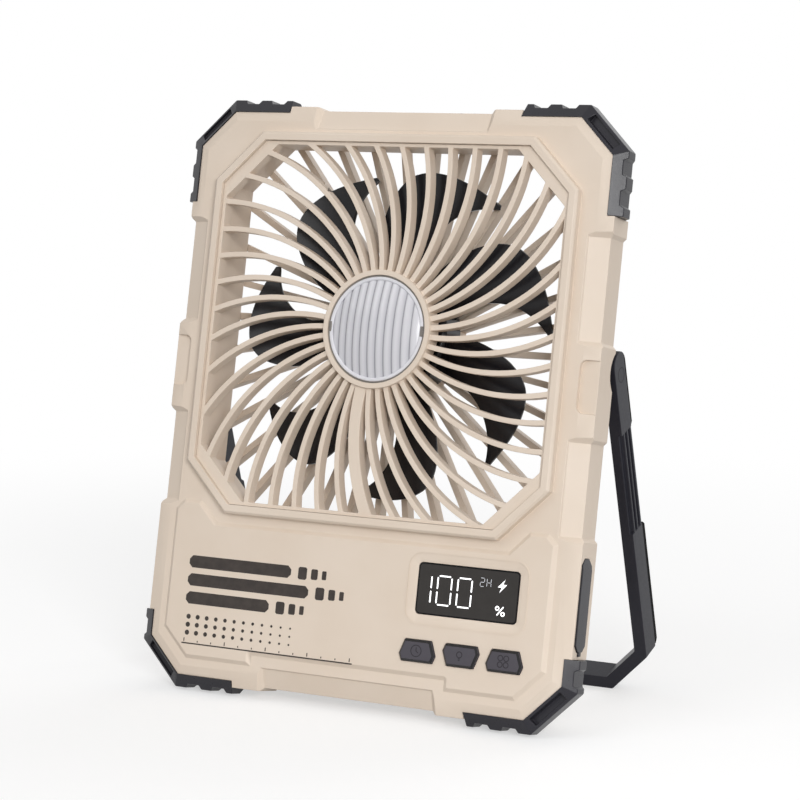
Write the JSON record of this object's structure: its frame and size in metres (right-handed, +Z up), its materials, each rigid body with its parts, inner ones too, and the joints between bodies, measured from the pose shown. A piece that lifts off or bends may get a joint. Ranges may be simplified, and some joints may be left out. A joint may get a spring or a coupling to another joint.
{
  "type": "foldable desk fan",
  "caption": "Square battery desk fan with cut corners: swirled grille with a centre lamp, sickle-bladed rotor, control panel, corner bumpers and a folding U-shaped stand.",
  "frame": {"origin": "middle of the box, on the surface that the fan stands on", "axes": "+Z up, +X to the right of the fan, -Y the way the fan blows, with the stand open at +Y"},
  "size_m": [0.18, 0.0892, 0.2204],
  "materials": {
    "tan_abs": "moulded ABS with a fine satin texture",
    "dark_rubber": "moulded dark grey rubber",
    "dark_plastic": "moulded dark grey plastic",
    "black_plastic": "moulded near-black plastic",
    "button_plastic": "moulded dark grey plastic",
    "lens": "fluted translucent polycarbonate",
    "display_glass": "smoked acrylic",
    "board": "green glass-epoxy board",
    "component": "moulded component",
    "led": "phosphor under clear resin",
    "steel": "bright steel",
    "cell": "sleeved battery cell",
    "copper": "enamelled copper wire",
    "magnet": "bonded magnet"
  },
  "bodies": {
    "body": {"front_casing": "tan_abs", "front_grille": "tan_abs", "rear_casing": "tan_abs", "lamp_lens": "lens", "lamp_board": "board", "lamp_leds": "led", "bumper_top_left": "dark_rubber", "bumper_top_right": "dark_rubber", "bumper_bottom_left": "dark_rubber", "bumper_bottom_right": "dark_rubber", "display_window": "display_glass", "display_module": "component", "control_board": "board", "button_switches": "component", "battery_cells": "cell", "battery_tray": "black_plastic", "cell_contacts": "steel", "port_board": "board", "usb_c_socket": "steel", "usb_a_socket": "steel", "pivot_pin_left": "steel", "pivot_pin_right": "steel", "friction_washers": "component", "casing_screws": "steel", "motor_base": "component", "motor_bearings": "steel", "motor_stator": "steel", "motor_coils": "copper"},
    "stand": {"stand": "dark_plastic"},
    "rotor": {"fan_rotor": "black_plastic", "rotor_magnet": "magnet", "motor_shaft": "steel"},
    "timer_button": {"button_timer": "button_plastic"},
    "lamp_button": {"button_lamp": "button_plastic"},
    "speed_button": {"button_speed": "button_plastic"},
    "port_flap": {"port_cover": "dark_rubber"}
  },
  "joints": [
    {"name": "stand_fold", "type": "hinge", "parent": "body", "child": "stand", "pos_m": [0, 0.00222, 0.12463], "axis": [1, 0, 0], "range_deg": [-29.51, 150.49]},
    {"name": "fan_spin", "type": "hinge", "parent": "body", "child": "rotor", "pos_m": [0, -0.0043, 0.1354], "axis": [0, -0.9763, 0.2164], "continuous": true},
    {"name": "port_cover_swing", "type": "hinge", "parent": "body", "child": "port_flap", "pos_m": [0.0875, -0.02542, 0.06255], "axis": [0, -0.9763, 0.2164], "range_deg": [0, 100]},
    {"name": "timer_press", "type": "slide", "parent": "body", "child": "timer_button", "axis": [0, 0.9763, -0.2164], "range_m": [0, 0.0006], "stiffness_N_per_m": 1500},
    {"name": "lamp_press", "type": "slide", "parent": "body", "child": "lamp_button", "axis": [0, 0.9763, -0.2164], "range_m": [0, 0.0006], "stiffness_N_per_m": 1500},
    {"name": "speed_press", "type": "slide", "parent": "body", "child": "speed_button", "axis": [0, 0.9763, -0.2164], "range_m": [0, 0.0006], "stiffness_N_per_m": 1500}
  ]
}
